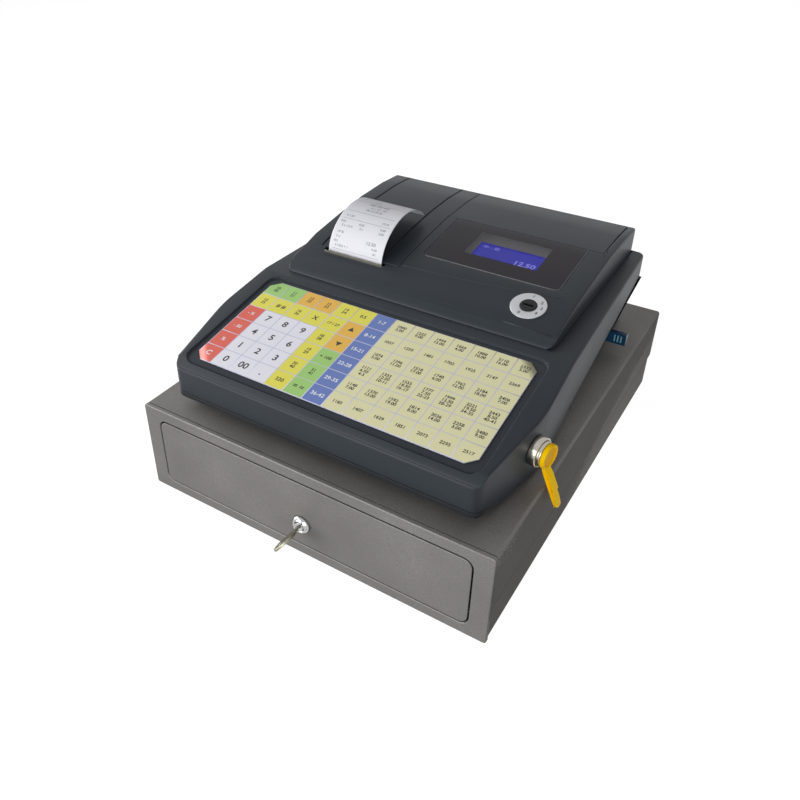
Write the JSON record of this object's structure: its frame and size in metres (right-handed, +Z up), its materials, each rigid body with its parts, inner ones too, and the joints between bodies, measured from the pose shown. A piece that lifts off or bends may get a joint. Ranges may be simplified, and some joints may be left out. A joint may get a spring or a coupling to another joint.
{
  "type": "cash register with drawer",
  "caption": "Electronic ticket register with a flat keyboard, receipt printer, display window and key locks, standing on a lockable steel cash drawer.",
  "frame": {"origin": "under the middle of the overall box, on the surface that the drawer's feet stand on", "axes": "+X to the right as the operator sees it, +Y from the drawer front to the back, +Z up"},
  "size_m": [0.3416, 0.4334, 0.2069],
  "materials": {
    "warm_grey_paint": "fine satin metallic powder coat",
    "dark_paint": "satin powder coat",
    "zinc_plate": "dull zinc plate",
    "chrome": "polished",
    "nickel": "worn nickel plate",
    "solenoid_iron": "bare iron",
    "copper_winding": "enamelled winding",
    "anthracite_abs": "finely grained moulding",
    "black_abs": "finely grained moulding",
    "black_plastic": "plain moulding",
    "foot_rubber": "matt",
    "legend_film": "printed satin film",
    "switch_film": "clear satin film",
    "window_plastic": "smoked and polished",
    "lcd_frame": "satin",
    "lcd_glass": "lit blue panel",
    "silver_plate": "satin",
    "yellow_plastic": "smooth moulding",
    "blue_plastic": "smooth moulding",
    "circuit_board": "lacquered",
    "receipt_paper": "smooth thermal paper"
  },
  "bodies": {
    "housing": {"display_window": "window_plastic", "drawer_base_pan": "dark_paint", "drawer_foot_1": "foot_rubber", "drawer_foot_2": "foot_rubber", "drawer_foot_3": "foot_rubber", "drawer_foot_4": "foot_rubber", "drawer_front_frame": "warm_grey_paint", "drawer_top_cover": "warm_grey_paint", "eject_spring": "zinc_plate", "flap_hinge_pin": "zinc_plate", "keyboard_plate": "zinc_plate", "lcd_frame": "lcd_frame", "lcd_glass": "lcd_glass", "left_case_rail": "zinc_plate", "legend_sheet": "legend_film", "lower_case": "black_abs", "main_board": "circuit_board", "mains_inlet": "black_plastic", "membrane_switch": "switch_film", "mode_lock_barrel": "black_plastic", "mode_lock_ring": "silver_plate", "power_transformer": "solenoid_iron", "printer_chassis": "black_plastic", "rear_panel": "anthracite_abs", "receipt_paper": "receipt_paper", "register_foot_1": "foot_rubber", "register_foot_2": "foot_rubber", "register_foot_3": "foot_rubber", "register_foot_4": "foot_rubber", "right_case_rail": "zinc_plate", "solenoid_coil": "copper_winding", "solenoid_yoke": "zinc_plate", "tear_bar": "silver_plate", "thermal_head": "silver_plate", "top_housing": "anthracite_abs", "upper_case": "anthracite_abs", "waiter_lock": "chrome"},
    "drawer": {"drawer_front_panel": "warm_grey_paint", "drawer_tray": "dark_paint", "right_drawer_rail": "zinc_plate", "left_drawer_rail": "zinc_plate", "latch_strike": "zinc_plate", "note_tray": "black_plastic", "clip_rod": "zinc_plate", "drawer_lock": "chrome"},
    "coin_tray": {"coin_tray": "black_plastic"},
    "note_clip_1": {"note_clip_1": "zinc_plate"},
    "note_clip_2": {"note_clip_2": "zinc_plate"},
    "note_clip_3": {"note_clip_3": "zinc_plate"},
    "lock_plug": {"lock_plug": "nickel"},
    "drawer_key": {"drawer_key": "nickel"},
    "latch_hook": {"latch_hook": "zinc_plate"},
    "solenoid_plunger": {"solenoid_plunger": "solenoid_iron"},
    "printer_flap": {"printer_flap": "anthracite_abs"},
    "paper_roll": {"paper_roll": "receipt_paper"},
    "platen_roller": {"platen_roller": "foot_rubber"},
    "mode_lock_rotor": {"mode_lock_rotor": "black_plastic"},
    "waiter_key": {"waiter_key": "yellow_plastic", "waiter_key_magnet": "chrome"},
    "memory_stick": {"memory_stick": "blue_plastic"}
  },
  "joints": [
    {"name": "drawer_slide", "type": "slide", "parent": "housing", "child": "drawer", "axis": [0, -1, 0], "range_m": [0, 0.28]},
    {"name": "coin_tray_lift", "type": "slide", "parent": "drawer", "child": "coin_tray", "axis": [0, 0, 1], "range_m": [0, 0.028]},
    {"name": "note_clip_1_lift", "type": "hinge", "parent": "drawer", "child": "note_clip_1", "pos_m": [-0.09715, 0.16375, 0.0495], "axis": [-1, 0, 0], "range_deg": [0, 45], "stiffness_Nm_per_rad": 0.15, "springref_deg": -28.65},
    {"name": "note_clip_2_lift", "type": "hinge", "parent": "drawer", "child": "note_clip_2", "pos_m": [-0.00582, 0.16375, 0.0495], "axis": [-1, 0, 0], "range_deg": [0, 45], "stiffness_Nm_per_rad": 0.15, "springref_deg": -28.65},
    {"name": "note_clip_3_lift", "type": "hinge", "parent": "drawer", "child": "note_clip_3", "pos_m": [0.08551, 0.16375, 0.0495], "axis": [-1, 0, 0], "range_deg": [0, 45], "stiffness_Nm_per_rad": 0.15, "springref_deg": -28.65},
    {"name": "lock_turn", "type": "hinge", "parent": "drawer", "child": "lock_plug", "pos_m": [-0.00582, -0.18225, 0.037], "axis": [0, 1, 0], "range_deg": [0, 90]},
    {"name": "drawer_key_pull", "type": "slide", "parent": "lock_plug", "child": "drawer_key", "axis": [0, -1, 0], "range_m": [0, 0.03]},
    {"name": "latch_engage", "type": "hinge", "parent": "housing", "child": "latch_hook", "pos_m": [0.01618, 0.20885, 0.044], "axis": [0, 0, -1], "range_deg": [0, 15]},
    {"name": "plunger_slide", "type": "slide", "parent": "housing", "child": "solenoid_plunger", "axis": [-1, 0, 0], "range_m": [0, 0.003]},
    {"name": "flap_open", "type": "hinge", "parent": "housing", "child": "printer_flap", "pos_m": [-0.08182, 0.18875, 0.1687], "axis": [-1, 0, 0], "range_deg": [0, 95], "deforming": ["receipt_paper"]},
    {"name": "paper_roll_turn", "type": "hinge", "parent": "housing", "child": "paper_roll", "pos_m": [-0.08182, 0.11775, 0.15], "axis": [1, 0, 0], "continuous": true},
    {"name": "platen_turn", "type": "hinge", "parent": "housing", "child": "platen_roller", "pos_m": [-0.08182, 0.00845, 0.157], "axis": [1, 0, 0], "continuous": true},
    {"name": "mode_turn", "type": "hinge", "parent": "housing", "child": "mode_lock_rotor", "pos_m": [0.09048, 0.01315, 0.17354], "axis": [0, -0.2593, 0.9658], "range_deg": [-110, 90]},
    {"name": "waiter_key_pull", "type": "slide", "parent": "housing", "child": "waiter_key", "axis": [0.986, -0.167, 0], "range_m": [0, 0.03]},
    {"name": "memory_stick_pull", "type": "slide", "parent": "housing", "child": "memory_stick", "axis": [1, 0, 0], "range_m": [0, 0.018]}
  ],
  "couplings": [
    {"joint": "plunger_slide", "follows": "latch_engage", "m_per_rad": 0.01},
    {"joint": "platen_turn", "follows": "paper_roll_turn", "ratio": -5.4}
  ]
}
